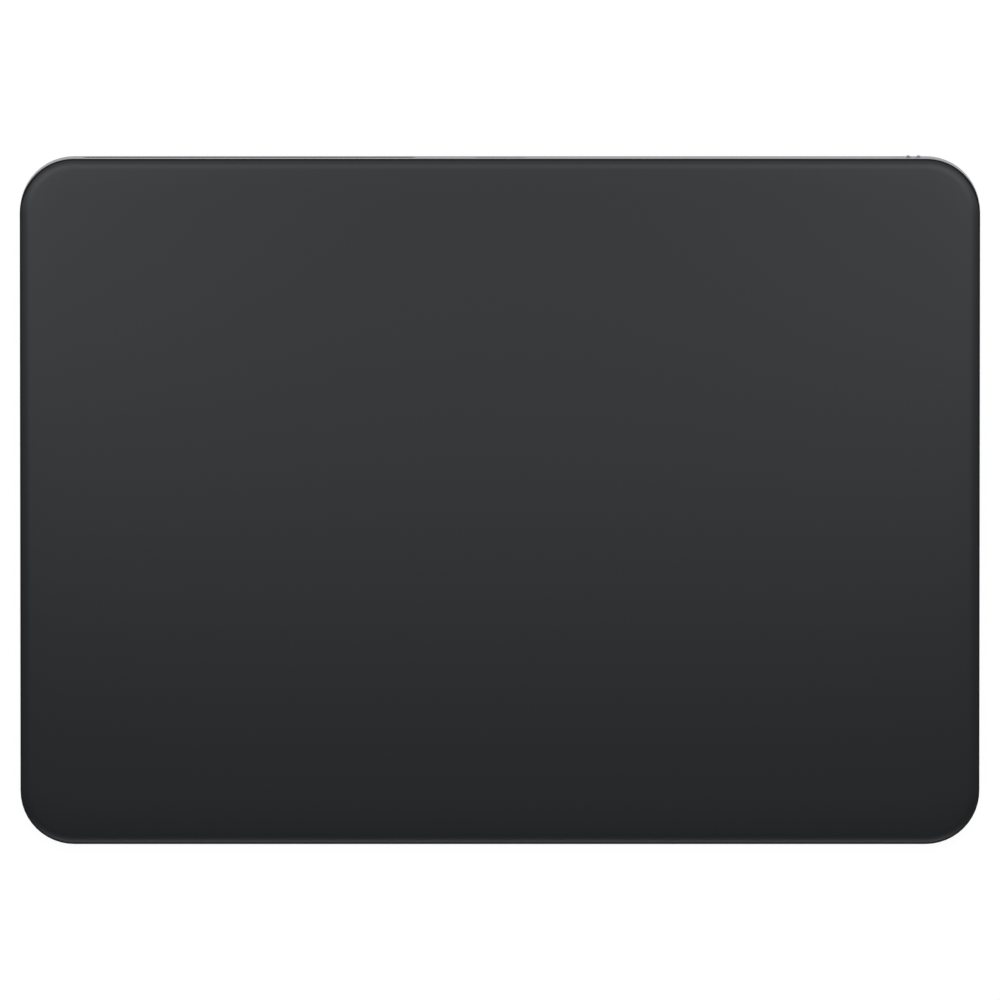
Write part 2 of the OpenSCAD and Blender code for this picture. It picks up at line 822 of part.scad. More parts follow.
module battery_tape() {
    color(GLASS) for (side = [-1, 1]) {
        for (s = [-1, 1]) {
            translate([side * cell_x + s * cell_w / 4, cell_y, deck_z])
                block(tape_w, cell_d - 2 * tape_end_gap, tape_t);
        }
    }
}

module battery_board() {
    color(BOARD) translate([0, pcm_y, ledge_top]) block(pcm_l, pcm_d, pcm_t);
}

module battery_flex() {
    y0 = pcm_y - pcm_d / 2 + pcm_edge;
    y1 = pcm_y + pcm_d / 2;
    y2 = battery_plug_y + plug_d / 2;
    color(FLEX) translate([battery_plug_x, 0, 0]) ribbon_yz([
        [y0, pcm_top], [y1, pcm_top], [board_front - flex_step, connector_top], [y2, connector_top]
    ], flex_w);
}

// Steel base with upright side walls and four screw ears
module haptic_frame() {
    color(STEEL) translate([0, haptic_y, haptic_z]) difference() {
        union() {
            block(haptic_w, haptic_d, haptic_base_t);
            for (s = [-1, 1]) {
                translate([s * (haptic_w - haptic_wall_t) / 2, 0, 0])
                    block(haptic_wall_t, haptic_d, haptic_base_t + haptic_wall_h);
                translate([0, s * (haptic_d + haptic_ear) / 2, 0]) {
                    for (x = [-1, 1]) {
                        translate([x * (haptic_w - haptic_ear) / 2, -s * haptic_ear / 2, 0])
                            block(haptic_ear, 2 * haptic_ear, haptic_base_t);
                    }
                }
            }
        }
        for (p = HAPTIC_EARS) {
            translate([p.x, p.y - haptic_y, -over]) cylinder(d = pilot_dia, h = haptic_base_t + 2 * over);
        }
    }
}

module racetrack(w, d, h) {
    block(w, d - w, h);
    for (s = [-1, 1]) {
        translate([0, s * (d - w) / 2, 0]) cylinder(d = w, h = h);
    }
}

module haptic_coils() {
    color(COPPER) for (s = [-1, 1]) {
        translate([s * coil_x, haptic_y, haptic_base_top]) difference() {
            racetrack(coil_w, coil_d, coil_h);
            translate([0, 0, -over])
                racetrack(coil_w - 2 * coil_band, coil_d - 2 * coil_band, coil_h + 2 * over);
        }
    }
}

module haptic_cores() {
    core_w = coil_w - 2 * coil_band - 2 * fit;
    core_d = coil_d - 2 * coil_band - 2 * fit;
    color(STEEL) for (s = [-1, 1]) {
        translate([s * coil_x, haptic_y, haptic_base_top]) racetrack(core_w, core_d, coil_h);
    }
}

// One leaf spring: upright blade from a side wall to the end of the mass, with a tab folded over the mass
module leaf_spring() {
    wall_x = haptic_w / 2 - haptic_wall_t;
    blade_x = mass_w / 2 + mass_travel + spring_room / 2;
    tip_y = mass_d / 2 - spring_in;
    translate([0, 0, mass_z + mass_t - spring_h]) linear_extrude(spring_h) polygon(ribbon([
        [wall_x, spring_in], [wall_x, spring_in + spring_tab],
        [blade_x, tip_y - spring_tab], [blade_x, tip_y]
    ], spring_t));
    translate([mass_w / 2 - spring_tab / 2, tip_y - spring_tab, mass_z + mass_t])
        cube([blade_x - mass_w / 2 + spring_tab / 2, spring_tab, spring_t]);
}

module haptic_springs() {
    color(STEEL) translate([0, haptic_y, 0]) for (mx = [0, 1]) {
        for (my = [0, 1]) {
            mirror([mx, 0, 0]) mirror([0, my, 0]) leaf_spring();
        }
    }
}

module haptic_mass() {
    color(MAGNET) translate([0, haptic_y, mass_z]) rounded_block(mass_w, mass_d, mass_t, mass_r);
}

module haptic_magnets() {
    color(STEEL) for (s = [-1, 1]) {
        for (h = [-1, 1]) {
            translate([s * coil_x + h * coil_w / 4, haptic_y, mass_z - magnet_t])
                block(magnet_w, coil_d - coil_w, magnet_t);
        }
    }
}

module haptic_screws() {
    color(STEEL) at_each(HAPTIC_EARS)
        translate([0, 0, haptic_base_top]) screw(grip(haptic_boss_h + haptic_base_t));
}

module haptic_flex() {
    rear = haptic_y + haptic_d / 2;
    under_base = haptic_z - flex_t;
    under_board = board_z - flex_t;
    color(FLEX) translate([haptic_flex_x, 0, 0]) ribbon_yz([
        [rear - flex_lap, under_base], [rear, under_base], [rear + flex_ramp, deck_z],
        [board_front - flex_ramp, deck_z], [board_front, under_board], [board_front + flex_lap, under_board]
    ], flex_w);
}

// Foot with a rim under the floor, which stops its travel, and a plug in the floor's hole
module foot_pad(i) {
    plug_r = foot_dia / 2;
    rim_out = foot_hole_dia / 2 + foot_rim;
    color(PLASTIC) translate([FEET[i].x, FEET[i].y, 0]) rotate_extrude() {
        square([plug_r, pad_h]);
        square([rim_out - foot_round, foot_stop_z]);
        translate([0, foot_round]) square([rim_out, foot_stop_z - foot_round]);
        translate([rim_out - foot_round, foot_round]) circle(foot_round);
    }
}

// Hub between pad and flexure, with a riveted stud
module foot_hub(i) {
    color(STEEL) translate([FEET[i].x, FEET[i].y, 0]) {
        translate([0, 0, pad_h]) cylinder(d = hub_dia, h = flexure_z - pad_h);
        translate([0, 0, pad_h]) cylinder(d = stud_dia, h = flexure_top + rivet_h - pad_h);
        translate([0, 0, flexure_top]) cylinder(d = rivet_dia, h = rivet_h);
    }
}

// Spring-steel strip, narrowed on both sides of the foot where it bends
module foot_flexure(i) {
    color(STEEL) translate([FEET[i].x, FEET[i].y, flexure_z]) difference() {
        rounded_block(flexure_l, flexure_w, flexure_t, flexure_r);
        translate([0, 0, -over]) cylinder(d = stud_dia + 2 * fit, h = flexure_t + 2 * over);
        for (s = [-1, 1]) {
            translate([s * flexure_screw_x, 0, -over]) cylinder(d = pilot_dia, h = flexure_t + 2 * over);
            translate([s * neck_x, -flexure_w / 2, -over]) cylinder(d = neck_dia, h = flexure_t + 2 * over);
        }
    }
}

// Gauges lie on the outer arm of each flexure
module strain_gauges() {
    color(FLEX) at_each(GAUGES) translate([0, 0, flexure_top]) block(gauge_l, gauge_w, gauge_t);
}

module flexure_screws() {
    color(STEEL) at_each(FLEXURE_HOLES)
        translate([0, 0, flexure_top]) screw(grip(flexure_boss_h + flexure_t));
}

// Ribbons along both side walls, from the gauges to the ends of the main board
module force_flex() {
    run_x = in_x - seat_gap - run_w / 2;
    run_y = switch_hole_y - boss_dia / 2 - slide_fit - run_w / 2;
    link_y = flexure_w / 2 - gauge_edge - run_w / 2;
    link_z = flexure_top + gauge_t;
    link_end = foot_x + flexure_l / 2 + fit;
    color(FLEX) for (side = [-1, 1]) {
        board_end = side > 0 ? board_right : -board_left;
        mirror([side > 0 ? 0 : 1, 0, 0]) {
            translate([run_x - run_w / 2, foot_front_y, deck_z])
                cube([run_w, run_y - foot_front_y + run_w / 2, flex_t]);
            translate([0, run_y, 0]) ribbon_xz([
                [board_end - flex_lap, board_z - flex_t], [board_end + flex_step, board_z - flex_t],
                [board_end + flex_step + flex_ramp, deck_z], [run_x, deck_z]
            ], run_w);
            for (y = [foot_front_y, foot_rear_y]) {
                translate([0, y + link_y, 0]) ribbon_xz([
                    [foot_x + gauge_x, link_z], [link_end, link_z],
                    [link_end + flex_step, deck_z + flex_t / 2], [run_x, deck_z + flex_t / 2]
                ], run_w);
            }
        }
    }
}

housing();
glass_top();
glass_bond();
touch_sensor();
touch_chips();
touch_flex();
antenna_window();
antenna_flex();
port_shell();
port_tongue();
port_contacts();
port_bracket();
bracket_screws();
main_board();
board_chips();
board_shield();
board_connectors();
board_screws();
switch_board();
switch_body();
switch_flex();
switch_screws();
switch_knob();
switch_mark();
battery_cell(-1);  // battery_cell_left
battery_cell(1);  // battery_cell_right
battery_tape();
battery_board();
battery_flex();
haptic_frame();
haptic_coils();
haptic_cores();
haptic_springs();
haptic_screws();
haptic_flex();
haptic_mass();
haptic_magnets();
foot_pad(0);  // foot_pad_fl
foot_pad(1);  // foot_pad_fr
foot_pad(2);  // foot_pad_rl
foot_pad(3);  // foot_pad_rr
foot_hub(0);  // foot_hub_fl
foot_hub(1);  // foot_hub_fr
foot_hub(2);  // foot_hub_rl
foot_hub(3);  // foot_hub_rr
foot_flexure(0);  // foot_flexure_fl
foot_flexure(1);  // foot_flexure_fr
foot_flexure(2);  // foot_flexure_rl
foot_flexure(3);  // foot_flexure_rr
strain_gauges();
flexure_screws();
force_flex();
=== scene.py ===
"""Looks of the trackpad: its finishes, its finely meshed pieces, the studio and the camera.

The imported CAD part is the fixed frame. X runs to the right, Y to the rear wall and Z up from the desk.
Sizes are written in millimetres, as in the part's source, and turned into Blender's metres by MM.
"""

import logging
import math
from dataclasses import dataclass, field
from enum import Enum
from typing import Any, ClassVar

import bpy
from mathutils import Matrix, Vector


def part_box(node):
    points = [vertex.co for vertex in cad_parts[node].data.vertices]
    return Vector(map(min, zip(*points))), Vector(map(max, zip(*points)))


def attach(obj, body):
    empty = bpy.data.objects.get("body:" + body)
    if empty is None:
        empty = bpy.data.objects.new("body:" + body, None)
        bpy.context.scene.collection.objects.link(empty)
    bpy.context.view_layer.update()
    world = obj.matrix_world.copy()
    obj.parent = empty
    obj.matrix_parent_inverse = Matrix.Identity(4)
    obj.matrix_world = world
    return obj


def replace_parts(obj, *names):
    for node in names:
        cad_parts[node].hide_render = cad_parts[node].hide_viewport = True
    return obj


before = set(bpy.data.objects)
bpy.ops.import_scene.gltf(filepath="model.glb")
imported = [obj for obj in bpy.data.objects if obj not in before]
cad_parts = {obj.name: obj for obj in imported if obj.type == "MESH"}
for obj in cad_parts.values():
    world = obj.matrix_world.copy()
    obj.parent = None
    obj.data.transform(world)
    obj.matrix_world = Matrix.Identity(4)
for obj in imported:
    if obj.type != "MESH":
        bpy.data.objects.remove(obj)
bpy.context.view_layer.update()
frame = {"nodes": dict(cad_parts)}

MM = 0.001
LOG = logging.getLogger("trackpad")
# A point of an outline and its outward direction there.
PathPoint = tuple[Vector, Vector]
# A point of a path, and the outward and upward directions of the section that is swept along it.
Station = tuple[Vector, Vector, Vector]
# The Mix node's colour sockets share their names with those for numbers, so they go by number.
MIX_FIRST, MIX_SECOND, MIX_RESULT = 6, 7, 2


def linear(hex_colour: str) -> tuple[float, float, float, float]:
    """Turns an sRGB hex colour into the linear colour that shaders take.

    Args:
        hex_colour: Six hex digits, such as "c8c9cb".

    Returns:
        Linear red, green and blue, and an alpha of 1.
    """
    channels = []
    for start in (0, 2, 4):
        value = int(hex_colour[start : start + 2], 16) / 255
        channels.append(value / 12.92 if value <= 0.04045 else ((value + 0.055) / 1.055) ** 2.4)
    return (*channels, 1.0)


def add_node(
    tree: bpy.types.NodeTree, kind: str, inputs: dict[Any, Any] | None = None, **settings: Any
) -> Any:
    """Adds one shader node with its settings and links.

    Args:
        tree: The node tree that takes the node.
        kind: Blender's type name of the node, without the leading ShaderNode.
        inputs: Socket name or number, and the value or the output socket that feeds it.
        settings: Attributes of the node.

    Returns:
        The new node.
    """
    made = tree.nodes.new("ShaderNode" + kind)
    for name, value in settings.items():
        setattr(made, name, value)
    for key, value in (inputs or {}).items():
        if isinstance(value, bpy.types.NodeSocket):
            tree.links.new(value, made.inputs[key])
        else:
            made.inputs[key].default_value = value
    return made


def node_box(name: str) -> tuple[Vector, Vector]:
    """Finds the lowest and the highest corner of a CAD node, in millimetres."""
    low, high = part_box(name)
    return low / MM, high / MM


class Surface(Enum):
    """How a surface was made, which sets the relief that it shows."""

    GRAIN = "even grain, from blasting, etching or a textured mould"
    BRUSHED = "fine lines along X, from rolling and brushing"
    TRACES = "conductor lines under a film or a mask"
    CRINKLE = "soft dents in a foil drawn over a soft core"


# Noise that draws each surface: how many finer layers it has, how much these count, and how far it is warped.
NOISE = {
    Surface.GRAIN: {"Detail": 2.0, "Roughness": 0.6},
    Surface.BRUSHED: {"Detail": 3.0},
    Surface.CRINKLE: {"Detail": 4.0, "Roughness": 0.6, "Distortion": 0.6},
}
# Length of a brushed line, in line widths.
BRUSH_STRETCH = 40
# How far conductor lines stray from an even grid, from 0 to 1.
TRACE_SCATTER = 0.85
# Rays that look for an edge near a point, to show it broken.
EDGE_SAMPLES = 6


@dataclass(frozen=True)
class Finish:
    """A real material and the way its surface was made.

    Attributes:
        name: Common name of the material and its making.
        colour: Its sRGB hex colour.
        roughness: Roughness of its gloss.
        metallic: 1 for a bare metal, 0 for anything else.
        ior: Index of refraction; a metal keeps the default.
        surface: How its surface was made.
        pitch_mm: Size of the grain or dents, or spacing of the lines.
        depth_mm: Depth of that relief.
        fleck: sRGB hex colour that the relief's high spots take.
        spread: How far the roughness swings over the relief.
        coat: Weight of a clear coat over it.
        gloss: Strength of the gloss of a porous surface; 0.5 is that of a closed one.
        edge_mm: Radius to which its sharp edges look broken.
        tint: sRGB hex colour that a thin film gives its gloss; on a metal, only that along the surface.
    """

    name: str
    colour: str
    roughness: float
    metallic: float = 0.0
    ior: float = 1.5
    surface: Surface = Surface.GRAIN
    pitch_mm: float = 0.3
    depth_mm: float = 0.003
    fleck: str = ""
    spread: float = 0.0
    coat: float = 0.0
    gloss: float = 0.5
    edge_mm: float = 0.0
    tint: str = "ffffff"

    def relief(self, tree: bpy.types.NodeTree) -> bpy.types.NodeSocket:
        """Adds the nodes that draw the relief.

        Args:
            tree: The material's node tree.

        Returns:
            A height from 0 to 1.
        """
        place = add_node(tree, "TexCoord").outputs["Object"]
        per_metre = 1 / (self.pitch_mm * MM)
        inputs: dict[Any, Any] = {"Vector": place, "Scale": per_metre}
        if self.surface is Surface.TRACES:
            inputs["Randomness"] = TRACE_SCATTER
            return add_node(tree, "TexVoronoi", inputs, distance="MANHATTAN").outputs["Distance"]
        if self.surface is Surface.BRUSHED:
            scales = (per_metre / BRUSH_STRETCH, per_metre, per_metre)
            drawn_out = add_node(tree, "Mapping", {"Vector": place, "Scale": scales})
            inputs = {"Vector": drawn_out.outputs[0], "Scale": 1.0}
        return add_node(tree, "TexNoise", inputs | NOISE[self.surface]).outputs[0]

    def material(self) -> bpy.types.Material:
        """Makes the Blender material of this finish, once.

        Returns:
            The material, with a relief from the finish's real sizes.
        """
        made = bpy.data.materials.get(self.name)
        if made is not None:
            return made
        made = bpy.data.materials.new(self.name)
        made.use_nodes = True
        tree = made.node_tree
        tree.nodes.clear()
        height = self.relief(tree)
        dents: dict[Any, Any] = {"Height": height, "Strength": 1.0, "Distance": self.depth_mm * MM}
        if self.edge_mm:
            broken = add_node(tree, "Bevel", {"Radius": self.edge_mm * MM}, samples=EDGE_SAMPLES)
            dents["Normal"] = broken.outputs[0]
        inputs: dict[Any, Any] = {
            "Base Color": linear(self.colour),
            "Metallic": self.metallic,
            "Roughness": self.roughness,
            "Coat Weight": self.coat,
            "Specular Tint": linear(self.tint),
            "Normal": add_node(tree, "Bump", dents).outputs[0],
        }
        if not self.metallic:
            inputs |= {"IOR": self.ior, "Specular IOR Level": self.gloss}
        if self.fleck:
            colours = {0: height, MIX_FIRST: linear(self.colour), MIX_SECOND: linear(self.fleck)}
            inputs["Base Color"] = add_node(tree, "Mix", colours, data_type="RGBA").outputs[MIX_RESULT]
        if self.spread:
            limits = {"To Min": self.roughness - self.spread, "To Max": self.roughness + self.spread}
            inputs["Roughness"] = add_node(tree, "MapRange", {"Value": height} | limits).outputs[0]
        shader = add_node(tree, "BsdfPrincipled", inputs)
        add_node(tree, "OutputMaterial", {"Surface": shader.outputs[0]})
        return made


# Aluminosilicate glass, acid-etched on top and printed black behind: a satin sheet with no sharp reflections,
# only a soft wash of the light above it. The etch is finer than a pixel, so its grain is drawn coarser. A
# film against fingerprints turns its gloss faintly blue.
ETCHED_GLASS = Finish(
    "etched_black_glass",
    "02050b",
    roughness=0.296,
    ior=1.51,
    pitch_mm=0.35,
    depth_mm=0.0003,
    spread=0.02,
    tint="fafcff",
)
# Black ink on the ground edge of the glass, porous and dead matte: partly a real printed edge, partly painted
# shade, a dark line in place of the dark reflection along the rim.
EDGE_INK_AND_SHADE = Finish(
    "inked_glass_edge_and_painted_shade", "1c1c1e", roughness=0.85, pitch_mm=0.1, depth_mm=0.002, gloss=0.12
)
# Aluminium, bead-blasted and clear anodised: an even silver-grey bloom without direction, and edges that
# catch the light. The pits of the blast are about 0.05 mm and are drawn coarser to show.
BLASTED_ALUMINIUM = Finish(
    "blasted_anodised_aluminium",
    "a1a2a5",
    roughness=0.5,
    metallic=1.0,
    pitch_mm=0.18,
    depth_mm=0.005,
    fleck="b3b4b7",
    spread=0.05,
    edge_mm=0.1,
    tint="d0d1d4",
)
# Polycarbonate, moulded against a spark-eroded tool and tinted grey: darker and duller than the metal.
MOULDED_WINDOW = Finish(
    "moulded_grey_polycarbonate",
    "484a4d",
    roughness=0.7,
    ior=1.58,
    pitch_mm=0.2,
    depth_mm=0.006,
    fleck="56585b",
    gloss=0.18,
)
# Polyurethane foot, moulded with a fine matte texture: pale, dull and slightly soft at its rim.
MOULDED_FOOT = Finish(
    "moulded_pale_polyurethane", "c2c4c6", roughness=0.62, pitch_mm=0.4, depth_mm=0.004, fleck="cacbcd"
)
# Austenitic stainless sheet, rolled and stamped: bright, with faint lines from the rolls.
STAMPED_STAINLESS = Finish(
    "stamped_stainless_steel",
    "b9babb",
    roughness=0.28,
    metallic=1.0,
    surface=Surface.BRUSHED,
    pitch_mm=0.12,
    depth_mm=0.0015,
    spread=0.05,
    edge_mm=0.04,
    tint="b4b5b6",
)
# The socket's shell is deep drawn from the same sheet and left dull: darker, with no lines from the rolls.
DRAWN_SHELL = Finish(
    "deep_drawn_stainless_shell",
    "8c8d8f",
    roughness=0.36,
    metallic=1.0,
    pitch_mm=0.1,
    depth_mm=0.002,
    spread=0.04,
    edge_mm=0.05,
    tint="9a9b9c",
)
# Machine screws, zinc plated: brighter and cooler than the sheet that they hold.
PLATED_SCREW = Finish(
    "zinc_plated_screw_steel",
    "c9ccd0",
    roughness=0.24,
    metallic=1.0,
    pitch_mm=0.1,
    depth_mm=0.001,
    spread=0.04,
)
# Liquid-crystal polymer and epoxy, moulded black: dull, with a trace of glass filler in it.
MOULDED_BLACK = Finish(
    "moulded_black_epoxy", "17181a", roughness=0.55, ior=1.55, pitch_mm=0.15, depth_mm=0.002, fleck="1f2022"
)
# Gold flashed over nickel on the socket's contacts: smooth and warm.
GOLD_FLASH = Finish(
    "gold_flashed_contact", "e3b659", roughness=0.2, metallic=1.0, pitch_mm=0.08, depth_mm=0.0005, spread=0.03
)
# Glass-epoxy board under a dark green solder mask: glossy, with copper lines that stand under the mask.
MASKED_BOARD = Finish(
    "solder_masked_circuit_board",
    "123522",
    roughness=0.35,
    ior=1.55,
    surface=Surface.TRACES,
    pitch_mm=1.2,
    depth_mm=0.012,
    fleck="1c4a30",
    coat=0.3,
)
# The touch board's mask is black, over electrodes about 5 mm apart that show faintly through it.
TOUCH_BOARD = Finish(
    "solder_masked_touch_board",
    "101214",
    roughness=0.4,
    ior=1.55,
    surface=Surface.TRACES,
    pitch_mm=5.0,
    depth_mm=0.012,
    fleck="191c1f",
    coat=0.2,
)
# Polyimide film with copper lines laminated in it: amber and glossy, with darker lines that shine through.
POLYIMIDE_FILM = Finish(
    "laminated_polyimide_film",
    "8a5416",
    roughness=0.3,
    ior=1.7,
    surface=Surface.TRACES,
    pitch_mm=0.5,
    depth_mm=0.006,
    fleck="a9691f",
    coat=0.4,
)
# Acrylic foam adhesive, die cut: black and dead matte.
FOAM_ADHESIVE = Finish(
    "die_cut_acrylic_foam", "0d0d0e", roughness=0.85, ior=1.49, pitch_mm=0.25, depth_mm=0.01, fleck="141415"
)
# Aluminium laminate pouch, drawn over the cell: dark grey nylon skin with soft dents.
POUCH_LAMINATE = Finish(
    "drawn_pouch_laminate",
    "3a3b3e",
    roughness=0.38,
    ior=1.53,
    surface=Surface.CRINKLE,
    pitch_mm=9.0,
    depth_mm=0.08,
    fleck="434448",
    spread=0.05,
)
# Copper wire, drawn and enamelled: warm red-brown under a clear gloss.
ENAMELLED_WIRE = Finish(
    "enamelled_copper_wire",
    "a85a2c",
    roughness=0.32,
    metallic=1.0,
    pitch_mm=0.12,
    depth_mm=0.001,
    fleck="b56836",
    coat=0.4,
)
# Neodymium magnet, sintered, ground and nickel plated: smooth and slightly yellow-grey.
NICKEL_MAGNET = Finish(
    "nickel_plated_magnet", "b3afa6", roughness=0.22, metallic=1.0, pitch_mm=0.3, depth_mm=0.0008, spread=0.04
)
# Tungsten alloy, sintered and ground: dark and dense, with a dull grain.
SINTERED_TUNGSTEN = Finish(
    "sintered_tungsten_alloy",
    "6d6e71",
    roughness=0.45,
    metallic=1.0,
    pitch_mm=0.25,
    depth_mm=0.003,
    fleck="77787b",
)
# Pad-printed green ink on the slider's shutter: flat colour with the shutter's own fine grain.
PRINTED_GREEN = Finish(
    "pad_printed_green_ink", "2fae4a", roughness=0.5, pitch_mm=0.12, depth_mm=0.001, fleck="35b651"
)


def track_point(width: float, length: float, steps: int, number: int) -> PathPoint:
    """Finds one point of an outline of two half circles and two straight sides.

    Args:
        width: Size across the half circles' diameter.
        length: Size along the straight sides, with the half circles.
        steps: Steps round each half circle.
        number: Number of the point, anticlockwise from the first half circle's start.

    Returns:
        The point and its outward direction, with the long side along the second axis.
    """
    end, step = divmod(number % (2 * steps + 2), steps + 1)
    angle = math.pi * (end + step / steps)
    out = Vector((math.cos(angle), math.sin(angle), 0))
    return out * (width / 2) + Vector((0, (1 - 2 * end) * (length - width) / 2, 0)), out


@dataclass
class Shape:
    """A mesh under construction, in millimetres.

    Attributes:
        vertices: Its points.
        faces: Point numbers of each face, anticlockwise from outside.
    """

    vertices: list[Vector]
    faces: list[list[int]]

    @classmethod
    def empty(cls) -> "Shape":
        """Starts a shape with no points."""
        return cls([], [])

    def add_sweep(self, stations: list[Station], section: list[tuple[float, float]], closed: bool) -> None:
        """Sweeps a section along a path.

        Args:
            stations: Point, outward direction and upward direction at each step of the path.
            section: Outward and upward offsets from the path, anticlockwise seen from the path's end.
            closed: Whether the path runs back into its start; an open one gets a cap at each end.
        """
        start, count, total = len(self.vertices), len(section), len(stations)
        for point, out, up in stations:
            self.vertices.extend(point + out * u + up * v for u, v in section)
        for i in range(total if closed else total - 1):
            low, high = start + i * count, start + (i + 1) % total * count
            for j in range(count):
                k = (j + 1) % count
                self.faces.append([low + j, high + j, high + k, low + k])
        if not closed:
            self.faces.append([start + j for j in range(count)])
            self.faces.append([start + total * count - 1 - j for j in range(count)])

    def add_rows(self, rows: list[list[Vector]]) -> None:
        """Skins closed rows of points and caps the first and last.

        Args:
            rows: Rows of as many points each, from top to bottom, anticlockwise from above.
        """
        start, count = len(self.vertices), len(rows[0])
        self.vertices.extend(point for row in rows for point in row)
        self.faces.append([start + i for i in range(count)])
        for r in range(len(rows) - 1):
            for i in range(count):
                j = (i + 1) % count
                low, high = start + (r + 1) * count, start + r * count
                self.faces.append([high + i, low + i, low + j, high + j])
        last = start + (len(rows) - 1) * count
        self.faces.append([last + i for i in reversed(range(count))])

    def piece(self, name: str, body: str, slot: str, *finishes: Finish) -> bpy.types.Object:
        """Turns the shape into a piece of the part.

        Args:
            name: Name of the piece.
            body: CAD body that it rides on.
            slot: Name of a material slot; not used.
            finishes: Its finishes, the main one first.

        Returns:
            The piece, smooth shaded.
        """
        mesh = bpy.data.meshes.new(name)
        mesh.from_pydata([v * MM for v in self.vertices], [], self.faces)
        mesh.shade_smooth()
        for finish in finishes:
            mesh.materials.append(finish.material())
        made = bpy.data.objects.new(name, mesh)
        bpy.context.scene.collection.objects.link(made)
        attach(made, body)
        LOG.info("%s: %d faces, %s", name, len(self.faces), finishes[0].name)
        return made


@dataclass
class SubAssembly:
    """Pieces that come off the bench together.

    Attributes:
        FINISHES: Finish of each CAD node of the sub-assembly.
        nodes: The frame's CAD nodes, by name.
    """

    FINISHES: ClassVar[dict[str, Finish]] = {}
    nodes: dict[str, bpy.types.Object]

    def build(self) -> None:
        """Gives each CAD node its material; a sub-assembly with finer pieces adds them here."""
        for name, finish in self.FINISHES.items():
            mesh = self.nodes[name].data
            mesh.materials.clear()
            mesh.materials.append(finish.material())
            LOG.info("%s: %s", name, finish.name)


